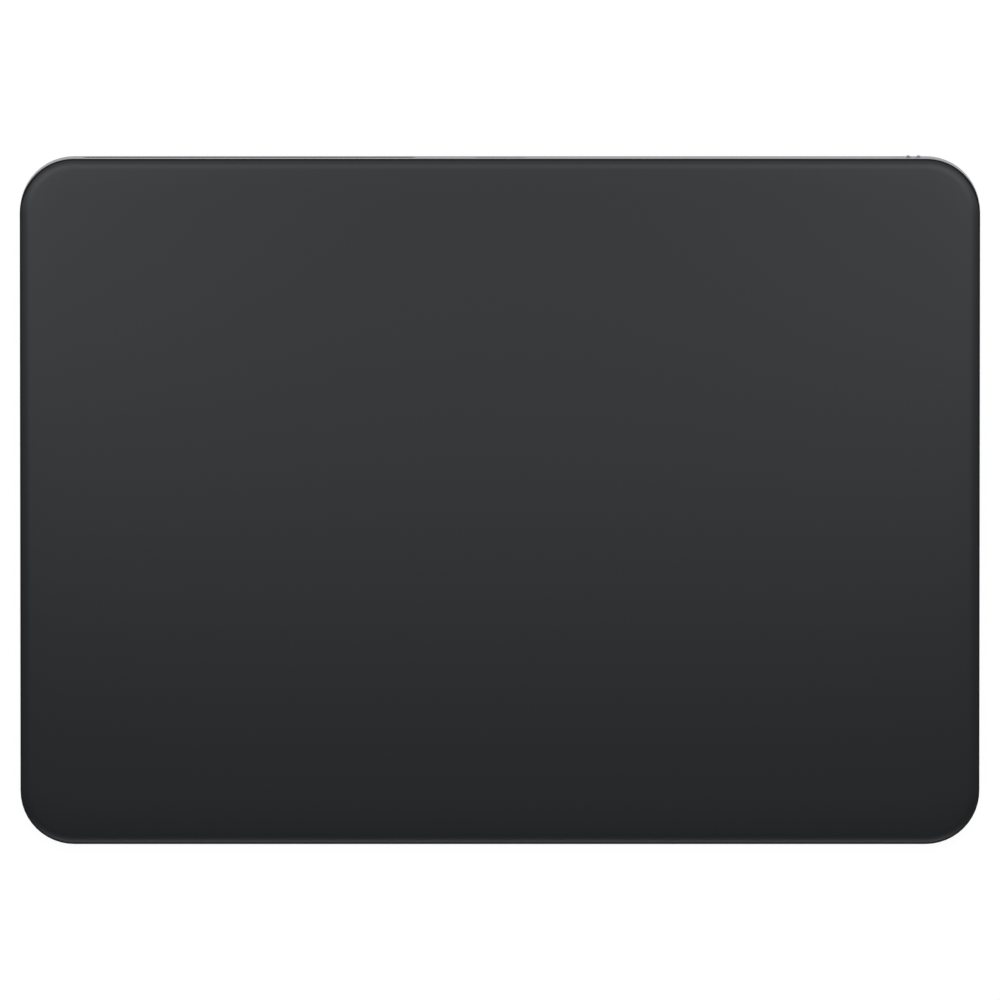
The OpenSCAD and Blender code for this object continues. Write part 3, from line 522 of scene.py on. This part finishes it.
@dataclass
class Enclosure(SubAssembly):
    """The tray and its glass, which is meshed finely so that its rolled edge carries smooth highlights.

    Attributes:
        body_w: Width across the tray's side walls, from the frame.
        body_d: Depth from the tray's front wall to its rear wall, from the frame.
        front_h: Height of the glass plane over the front wall.
        rear_h: Height of the glass plane over the rear wall.
        corner_r: Radius of the corners, seen from above.
        inset: How far the glass edge sits in from the walls.
        thick: Thickness of the glass.
        crown_w: Width of the glass's slow crown, from the edge.
        crown_deg: Angle that the crown turns through.
        shoulder_r: Radius of the shoulder.
        shoulder_deg: Angle at which the shoulder runs into the rim.
        rim_r: Radius of the tight rim.
        ink_and_shade_deg: Angle of the rim at which the black edge ink, with its painted shade, starts.
        corner_steps: Facets round one corner.
        edge_steps: Facets across each of crown, shoulder and rim.
    """

    FINISHES: ClassVar[dict[str, Finish]] = {
        "housing": BLASTED_ALUMINIUM,
        "glass_top": ETCHED_GLASS,
        "glass_bond": FOAM_ADHESIVE,
        "antenna_window": MOULDED_WINDOW,
        "antenna_flex": POLYIMIDE_FILM,
    }
    body_w: float = field(init=False)
    body_d: float = field(init=False)
    front_h: float = 4.9
    rear_h: float = 10.9
    corner_r: float = 9.0
    inset: float = 0.03
    thick: float = 1.1
    crown_w: float = 8.2
    crown_deg: float = 1.8
    shoulder_r: float = 6.0
    shoulder_deg: float = 15.0
    rim_r: float = 0.55
    ink_and_shade_deg: float = 32.0
    corner_steps: int = 48
    edge_steps: int = 14

    def __post_init__(self) -> None:
        """Takes the tray's width and depth from the frame."""
        low, high = node_box("housing")
        self.body_w, self.body_d = high.x - low.x, high.y - low.y

    @property
    def slope(self) -> float:
        """Angle of the glass plane to the desk, in radians."""
        return math.atan((self.rear_h - self.front_h) / self.body_d)

    @property
    def tilt(self) -> Matrix:
        """Places the flat sheet, whose top is z = 0, on the tray."""
        middle_h = (self.front_h + self.rear_h) / 2
        return Matrix.Translation((0, 0, middle_h)) @ Matrix.Rotation(self.slope, 4, "X")

    def profile(self) -> list[tuple[float, float, float]]:
        """Works out the section of the glass edge, from the flat top down to the underside.

        Returns:
            Inset from the edge, drop from the top, and angle of the face to the top, for each ring.
        """
        crown, turn = math.radians(self.crown_deg), math.radians(self.shoulder_deg)
        start = self.shoulder_r * (math.sin(turn) - math.sin(crown)) + self.rim_r * (1 - math.sin(turn))
        run = self.crown_w - start
        rings = []
        for step in range(self.edge_steps):
            u = step / self.edge_steps
            rings.append((self.crown_w - run * u, crown * run * u**3 / 3, crown * u**2))
        drop = crown * run / 3
        for step in range(self.edge_steps):
            angle = crown + (turn - crown) * step / self.edge_steps
            along = self.shoulder_r * (math.sin(angle) - math.sin(crown))
            rings.append((start - along, drop + self.shoulder_r * (math.cos(crown) - math.cos(angle)), angle))
        drop += self.shoulder_r * (math.cos(crown) - math.cos(turn))
        for step in range(self.edge_steps + 1):
            angle = turn + (math.pi / 2 - turn) * step / self.edge_steps
            fall = self.rim_r * (math.cos(turn) - math.cos(angle))
            rings.append((self.rim_r * (1 - math.sin(angle)), drop + fall, angle))
        rings.append((0.0, self.thick, math.pi / 2))
        return rings

    def outline(self, inset: float) -> list[PathPoint]:
        """Walks round the glass, anticlockwise seen from above.

        Args:
            inset: How far inside the edge to walk.

        Returns:
            Points and outward directions, both in the plane of the sheet.
        """
        half_w = self.body_w / 2 - self.inset
        half_d = (self.body_d / 2 - self.inset) / math.cos(self.slope)
        points = []
        for corner, (sx, sy) in enumerate(((1, 1), (-1, 1), (-1, -1), (1, -1))):
            axis = Vector((sx * (half_w - self.corner_r), sy * (half_d - self.corner_r)))
            for step in range(self.corner_steps + 1):
                angle = math.pi / 2 * (corner + step / self.corner_steps)
                out = Vector((math.cos(angle), math.sin(angle)))
                points.append((axis + out * (self.corner_r - inset), out))
        return points

    def build_glass(self) -> None:
        """Meshes the glass with the true normals of its edge, and puts it in place of its CAD solid."""
        rings = self.profile()
        turned = self.tilt.to_3x3()
        rows, shading = [], []
        for inset, drop, angle in rings:
            walk = self.outline(inset)
            rows.append([self.tilt @ Vector((point.x, point.y, -drop)) for point, _ in walk])
            shading.extend(turned @ Vector((*(out * math.sin(angle)), math.cos(angle))) for _, out in walk)
        count = len(rows[0])
        shape = Shape.empty()
        shape.add_rows(rows)
        sheet = shape.piece("glass_sheet", "tray", "black_glass", ETCHED_GLASS, EDGE_INK_AND_SHADE)
        up = turned @ Vector((0, 0, 1))
        normals = [up] * count
        for face in shape.faces[1:-1]:
            normals.extend(shading[i] for i in face)
        sheet.data.normals_split_custom_set(normals + [-up] * count)
        # Rim faces past this angle take the black edge ink, whose dark line is partly painted shade.
        inked_and_shaded = [int(angle >= math.radians(self.ink_and_shade_deg)) for _, _, angle in rings[:-1] for _ in range(count)]
        sheet.data.polygons.foreach_set("material_index", [0] + inked_and_shaded + [1])
        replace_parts(sheet, "glass_top")

    def build(self) -> None:
        """Dresses the tray and meshes its glass."""
        super().build()
        self.build_glass()


@dataclass
class TouchStack(SubAssembly):
    """Touch board under the glass, its controllers and its ribbon."""

    FINISHES: ClassVar[dict[str, Finish]] = {
        "touch_sensor": TOUCH_BOARD,
        "touch_chips": MOULDED_BLACK,
        "touch_flex": POLYIMIDE_FILM,
    }


@dataclass
class ChargingSocket(SubAssembly):
    """Charging socket, with the rolled lip of its shell and the rounded tongue in it.

    Attributes:
        shell_t: Thickness of the shell's sheet.
        end_steps: Facets round each end of the shell.
        bead_steps: Facets round the rolled edge.
        nose_steps: Facets round half of the tongue's nose.
        nose_flat: Half height of the flat that is left on the nose.
    """

    FINISHES: ClassVar[dict[str, Finish]] = {
        "port_shell": DRAWN_SHELL,
        "port_tongue": MOULDED_BLACK,
        "port_contacts": GOLD_FLASH,
        "port_bracket": STAMPED_STAINLESS,
        "bracket_screws": PLATED_SCREW,
    }
    shell_t: float = 0.3
    end_steps: int = 32
    bead_steps: int = 8
    nose_steps: int = 8
    nose_flat: float = 0.02

    def build_lip(self) -> None:
        """Rolls the sheet's edge over at the mouth."""
        radius = self.shell_t / 2
        turns = [math.pi * step / self.bead_steps for step in range(self.bead_steps + 1)]
        bead = [(radius * math.cos(turn), radius * math.sin(turn)) for turn in turns]
        low, high = node_box("port_shell")
        width, height = high.x - low.x - self.shell_t, high.z - low.z - self.shell_t
        mouth = Vector(((low.x + high.x) / 2, high.y, (low.z + high.z) / 2))
        # The outline stands upright: its long axis lies along X and its up is the rear face's outward.
        upright = Matrix(((0, 1, 0), (0, 0, 1), (1, 0, 0)))
        stations = []
        for number in range(2 * self.end_steps + 2):
            point, out = track_point(height, width, self.end_steps, number)
            stations.append((mouth + upright @ point, upright @ out, Vector((0, 1, 0))))
        shape = Shape.empty()
        shape.add_sweep(stations, bead, closed=True)
        shape.piece("socket_lip", "tray", "stainless", DRAWN_SHELL)

    def build_tongue(self) -> None:
        """Builds the tongue with a rounded nose, in place of its CAD block."""
        low, high = node_box("port_tongue")
        middle_z, nose = (low.z + high.z) / 2, (high.z - low.z) / 2
        heights = []
        for step in range(self.nose_steps + 1):
            turn = math.pi / 2 * step / self.nose_steps
            heights.append((max(nose * math.sin(turn), self.nose_flat), high.y - nose * (1 - math.cos(turn))))
        heights.append((nose, low.y))
        corners = ((low.x, 1), (high.x, 1), (high.x, -1), (low.x, -1))
        rows = [[Vector((x, y, middle_z + side * half)) for x, side in corners] for half, y in heights]
        shape = Shape.empty()
        shape.add_rows(rows)
        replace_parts(shape.piece("socket_tongue", "tray", "chip_black", MOULDED_BLACK), "port_tongue")

    def build(self) -> None:
        """Dresses the socket and adds its lip and tongue."""
        super().build()
        self.build_lip()
        self.build_tongue()


@dataclass
class LogicBoard(SubAssembly):
    """Main board with its chips, shield, connectors and screws."""

    FINISHES: ClassVar[dict[str, Finish]] = {
        "main_board": MASKED_BOARD,
        "board_chips": MOULDED_BLACK,
        "board_shield": STAMPED_STAINLESS,
        "board_connectors": MOULDED_BLACK,
        "board_screws": PLATED_SCREW,
    }


@dataclass
class PowerSwitch(SubAssembly):
    """Slide switch on its own board, and the knob in the rear wall."""

    FINISHES: ClassVar[dict[str, Finish]] = {
        "switch_board": MASKED_BOARD,
        "switch_body": MOULDED_BLACK,
        "switch_flex": POLYIMIDE_FILM,
        "switch_screws": PLATED_SCREW,
        "switch_knob": BLASTED_ALUMINIUM,
        "switch_mark": PRINTED_GREEN,
    }


@dataclass
class BatteryPack(SubAssembly):
    """Two pouch cells on their tape, with the protection board between them."""

    FINISHES: ClassVar[dict[str, Finish]] = {
        "battery_cell_left": POUCH_LAMINATE,
        "battery_cell_right": POUCH_LAMINATE,
        "battery_tape": FOAM_ADHESIVE,
        "battery_board": MASKED_BOARD,
        "battery_flex": POLYIMIDE_FILM,
    }


@dataclass
class HapticActuator(SubAssembly):
    """Linear actuator, with every turn of its two coils.

    Attributes:
        coil_w: Width of a coil.
        band: Width of the winding, from its outside to its core.
        wire_d: Diameter of the wire.
        turns: Turns side by side in a layer.
        layers: Layers on top of each other.
        climb: Share of a turn on which the wire climbs to the next layer.
        end_steps: Facets round each end of a turn.
        wire_steps: Facets round the wire.
    """

    FINISHES: ClassVar[dict[str, Finish]] = {
        "haptic_frame": STAMPED_STAINLESS,
        "haptic_coils": ENAMELLED_WIRE,
        "haptic_cores": STAMPED_STAINLESS,
        "haptic_springs": STAMPED_STAINLESS,
        "haptic_screws": PLATED_SCREW,
        "haptic_flex": POLYIMIDE_FILM,
        "haptic_mass": SINTERED_TUNGSTEN,
        "haptic_magnets": NICKEL_MAGNET,
    }
    coil_w: float = 12.0
    band: float = 3.0
    wire_d: float = 0.26
    turns: int = 10
    layers: int = 3
    climb: float = 0.25
    end_steps: int = 16
    wire_steps: int = 8

    def wind(self, side: int) -> list[Station]:
        """Winds one coil: in along the lowest layer, out along the next and in again along the top one.

        Args:
            side: -1 for the left coil, 1 for the right one.

        Returns:
            The steps of its one unbroken wire.
        """
        low, high = node_box("haptic_coils")
        length, rise = high.y - low.y, (high.z - low.z - self.wire_d) / (self.layers - 1)
        start = Vector((side * (high.x - self.coil_w / 2), (low.y + high.y) / 2, low.z + self.wire_d / 2))
        up = Vector((0, 0, 1))
        per_turn = 2 * self.end_steps + 2
        per_layer = self.turns * per_turn
        stations = []
        for number in range(self.layers * per_layer):
            layer, step = divmod(number, per_layer)
            share = step / (per_layer - 1)
            inward = self.wire_d + 2 * (self.band - self.wire_d) * (share if layer % 2 == 0 else 1 - share)
            point, out = track_point(self.coil_w - inward, length - inward, self.end_steps, number)
            climbed = 0.0
            # The wire climbs on the last stretch of the layer's last turn, but not out of the top layer.
            if layer < self.layers - 1:
                climbed = max(0.0, 1 - (per_layer - step) / (per_turn * self.climb))
            stations.append((start + point + up * rise * (layer + climbed), out, up))
        return stations

    def build_windings(self) -> None:
        """Winds both coils from round wire, in place of their CAD solids."""
        radius = self.wire_d / 2
        angles = [math.tau * step / self.wire_steps for step in range(self.wire_steps)]
        wire = [(radius * math.cos(angle), radius * math.sin(angle)) for angle in angles]
        shape = Shape.empty()
        for side in (-1, 1):
            shape.add_sweep(self.wind(side), wire, closed=False)
        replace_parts(shape.piece("coil_windings", "tray", "copper_wire", ENAMELLED_WIRE), "haptic_coils")

    def build(self) -> None:
        """Dresses the actuator and winds its coils."""
        super().build()
        self.build_windings()


class Corner(Enum):
    """The four corners of the tray, by the ending of their nodes' names."""

    FRONT_LEFT = "fl"
    FRONT_RIGHT = "fr"
    REAR_LEFT = "rl"
    REAR_RIGHT = "rr"


@dataclass
class ForceFeet(SubAssembly):
    """Feet, hubs and flexures at the four corners, with the gauges that read them."""

    FINISHES: ClassVar[dict[str, Finish]] = {
        "strain_gauges": POLYIMIDE_FILM,
        "flexure_screws": PLATED_SCREW,
        "force_flex": POLYIMIDE_FILM,
        **{f"foot_pad_{corner.value}": MOULDED_FOOT for corner in Corner},
        **{f"foot_hub_{corner.value}": STAMPED_STAINLESS for corner in Corner},
        **{f"foot_flexure_{corner.value}": STAMPED_STAINLESS for corner in Corner},
    }


class Facing(Enum):
    """Where a light looks."""

    DOWN = "straight down"
    OBJECT = "at the middle of the object's place on the desk"


@dataclass(frozen=True)
class Softbox:
    """A soft light.

    Attributes:
        name: Name of the light.
        width: Size across.
        depth: Size from front to rear, or upright.
        place: Middle of its face.
        facing: Where it looks.
        level: Brightness of its face, where 1 is white.
    """

    name: str
    width: float
    depth: float
    place: tuple[float, float, float]
    facing: Facing
    level: float

    def hang(self) -> bpy.types.Object:
        """Adds the light to the scene, out of the camera's sight.

        Returns:
            The lamp.
        """
        light = bpy.data.lights.new(self.name, "AREA")
        light.shape = "RECTANGLE"
        light.size, light.size_y = self.width * MM, self.depth * MM
        light.energy = self.level * math.pi * light.size * light.size_y
        lamp = bpy.data.objects.new(self.name, light)
        lamp.location = Vector(self.place) * MM
        look = Vector((0, 0, -1)) if self.facing is Facing.DOWN else -Vector(self.place)
        lamp.rotation_euler = look.to_track_quat("-Z", "Y").to_euler()
        lamp.visible_camera = False
        bpy.context.scene.collection.objects.link(lamp)
        LOG.info("%s: level %.2f", self.name, self.level)
        return lamp


# Boxes and a strip close above the object wash the rear half of the glass and leave its front darker. Strips
# in front and at the sides draw the shoulder of the glass. A large panel fills the rear wall.
SOFTBOXES = (
    Softbox("box_over_rear", 304, 199, (0, 99.5, 328), Facing.DOWN, 0.473),
    Softbox("box_over_front", 242, 71, (0, -35.5, 328), Facing.DOWN, 0.918),
    Softbox("box_over_left", 120, 162, (-128, 57, 323), Facing.DOWN, 0.8),
    Softbox("box_over_right", 120, 162, (128, 57, 323), Facing.DOWN, 0.8),
    Softbox("strip_over", 474, 55, (0, 93, 320), Facing.DOWN, 1.32),
    Softbox("strip_front", 1000, 110, (0, -632, 641), Facing.OBJECT, 3.0),
    Softbox("strip_left", 110, 1000, (-560, 0, 705), Facing.OBJECT, 1.4),
    Softbox("strip_right", 110, 1000, (560, 0, 705), Facing.OBJECT, 1.4),
    Softbox("panel_rear", 1600, 718, (0, 732, 523), Facing.OBJECT, 0.9),
)
# A smaller box under the floor lights the feet alone, which would be black in a view from below.
UNDERLIGHT = Softbox("box_below", 150, 104, (0, 0, -150), Facing.OBJECT, 3.0)


@dataclass
class Studio:
    """Pale floor, soft light and the camera above the rear edge.

    Attributes:
        nodes: The frame's CAD nodes, by name.
        floor_r: Radius of the floor.
        cove_r: Radius of the cove that joins floor and backdrop.
        backdrop_h: Height of the backdrop over the cove.
        round_steps: Facets round the floor.
        cove_steps: Facets up the cove.
        paper: sRGB hex colour of floor and backdrop, as the light that they throw back shows it.
        glow: Plain white that the eye and reflections see in the paper, where 1 is white.
        shade: sRGB hex colour that is added to it where light falls, and so keeps the object's shadow.
        dome: Brightness of the room around the object.
        camera_far: Distance from the camera to the object.
        camera_tilt: Angle that the camera leans to the rear, in degrees.
        view_w: Width of the desk that the picture spans.
        aim: Point of the object in the middle of the picture.
        sensor_w: Width of the camera's sensor.
        sight: How far the camera sees.
    """

    nodes: dict[str, bpy.types.Object]
    floor_r: float = 1200.0
    cove_r: float = 60.0
    backdrop_h: float = 80.0
    round_steps: int = 96
    cove_steps: int = 12
    paper: str = "f2f2f2"
    glow: float = 0.9
    shade: str = "757575"
    dome: float = 0.25
    camera_far: float = 7000.0
    camera_tilt: float = 3.85
    view_w: float = 166.68
    aim: tuple[float, float, float] = (0.013, 0.39, 7.9)
    sensor_w: float = 36.0
    sight: float = 20000.0

    def seen_rays(self, tree: bpy.types.NodeTree) -> bpy.types.NodeSocket:
        """Adds the nodes that tell rays of the eye, of reflections and of glass from rays of light.

        Args:
            tree: The node tree of the paper.

        Returns:
            1 for a ray that shows the background, and 0 for one that lights the object.
        """
        rays = add_node(tree, "LightPath").outputs
        seen = rays["Is Camera Ray"]
        for kind in ("Is Glossy Ray", "Is Transmission Ray"):
            seen = add_node(tree, "Math", {0: seen, 1: rays[kind]}, operation="MAXIMUM").outputs[0]
        return seen

    def paper_material(self) -> bpy.types.Material:
        """Makes the paper: white to the eye and in reflections, with the object's shadow kept.

        Returns:
            The material of floor and backdrop, clear from behind.
        """
        made = bpy.data.materials.new("matte_white_paper")
        made.use_nodes = True
        made.cycles.emission_sampling = "NONE"
        tree = made.node_tree
        tree.nodes.clear()
        paper = add_node(tree, "BsdfDiffuse", {"Color": linear(self.paper)})
        white = add_node(tree, "Emission", {"Color": linear("ffffff"), "Strength": self.glow})
        shade = add_node(tree, "BsdfDiffuse", {"Color": linear(self.shade)})
        seen = add_node(tree, "AddShader", {0: white.outputs[0], 1: shade.outputs[0]})
        inputs = {0: self.seen_rays(tree), 1: paper.outputs[0], 2: seen.outputs[0]}
        front = add_node(tree, "MixShader", inputs)
        clear = add_node(tree, "BsdfTransparent")
        behind = add_node(tree, "NewGeometry").outputs["Backfacing"]
        both = add_node(tree, "MixShader", {0: behind, 1: front.outputs[0], 2: clear.outputs[0]})
        add_node(tree, "OutputMaterial", {"Surface": both.outputs[0]})
        return made

    def build_floor(self) -> bpy.types.Object:
        """Sweeps floor, cove and backdrop round the object as one sheet of paper.

        Returns:
            The floor, as part of the stage.
        """
        flat = self.floor_r - self.cove_r
        section = [(flat, 0.0)]
        for step in range(1, self.cove_steps + 1):
            turn = math.pi / 2 * step / self.cove_steps
            section.append((flat + self.cove_r * math.sin(turn), self.cove_r * (1 - math.cos(turn))))
        section.append((self.floor_r, self.cove_r + self.backdrop_h))
        count = self.round_steps
        turns = [math.tau * i / count for i in range(count)]
        points = [Vector((r * math.cos(turn), r * math.sin(turn), z)) for r, z in section for turn in turns]
        faces = [list(range(count))]
        for ring in range(len(section) - 1):
            for i in range(count):
                j = (i + 1) % count
                low, high = ring * count, (ring + 1) * count
                faces.append([low + j, low + i, high + i, high + j])
        mesh = bpy.data.meshes.new("studio_floor")
        mesh.from_pydata([point * MM for point in points], [], faces)
        mesh.shade_smooth()
        mesh.materials.append(self.paper_material())
        floor = bpy.data.objects.new("studio_floor", mesh)
        bpy.context.scene.collection.objects.link(floor)
        LOG.info("studio_floor: %d faces", len(faces))
        return floor

    def build_lights(self, floor: bpy.types.Object) -> None:
        """Lights the room evenly and hangs the softboxes.

        Args:
            floor: The floor, which lets the light below it through to the feet.
        """
        world = bpy.data.worlds.new("soft_room")
        bpy.context.scene.world = world
        world.use_nodes = True
        tree = world.node_tree
        tree.nodes.clear()
        room = add_node(tree, "Background", {"Color": linear("ffffff"), "Strength": self.dome})
        add_node(tree, "OutputWorld", {"Surface": room.outputs[0]})
        for softbox in SOFTBOXES:
            softbox.hang()
        spared = bpy.data.collections.new("floor_lets_through")
        spared.objects.link(floor)
        spared.collection_objects[0].light_linking.link_state = "EXCLUDE"
        feet = bpy.data.collections.new("lit_from_below")
        for corner in Corner:
            feet.objects.link(self.nodes[f"foot_pad_{corner.value}"])
        links = UNDERLIGHT.hang().light_linking
        links.blocker_collection, links.receiver_collection = spared, feet

    def build_camera(self) -> None:
        """Puts a long lens above the object, leaning to the rear until a strip of the rear wall shows."""
        data = bpy.data.cameras.new("camera")
        data.sensor_width = self.sensor_w
        data.lens = self.sensor_w * self.camera_far / self.view_w
        data.clip_end = self.sight * MM
        camera = bpy.data.objects.new("camera", data)
        lean = math.radians(self.camera_tilt)
        away = Vector((0, math.sin(lean), math.cos(lean))) * self.camera_far
        camera.location = (Vector(self.aim) + away) * MM
        camera.rotation_euler = (-lean, 0, 0)
        bpy.context.scene.collection.objects.link(camera)
        bpy.context.scene.camera = camera

    def build(self) -> None:
        """Builds floor, lights and camera, and sets how colours are shown."""
        bpy.context.scene.view_settings.view_transform = "Standard"
        self.build_lights(self.build_floor())
        self.build_camera()


def main() -> None:
    """Builds the sub-assemblies in the order in which they go into the tray, then the studio."""
    logging.basicConfig(level=logging.INFO, format="%(name)s %(message)s")
    order = (
        Enclosure,
        ForceFeet,
        BatteryPack,
        HapticActuator,
        LogicBoard,
        ChargingSocket,
        PowerSwitch,
        TouchStack,
    )
    for kind in order:
        kind(frame["nodes"]).build()
    Studio(frame["nodes"]).build()


if __name__ == "__main__":
    main()
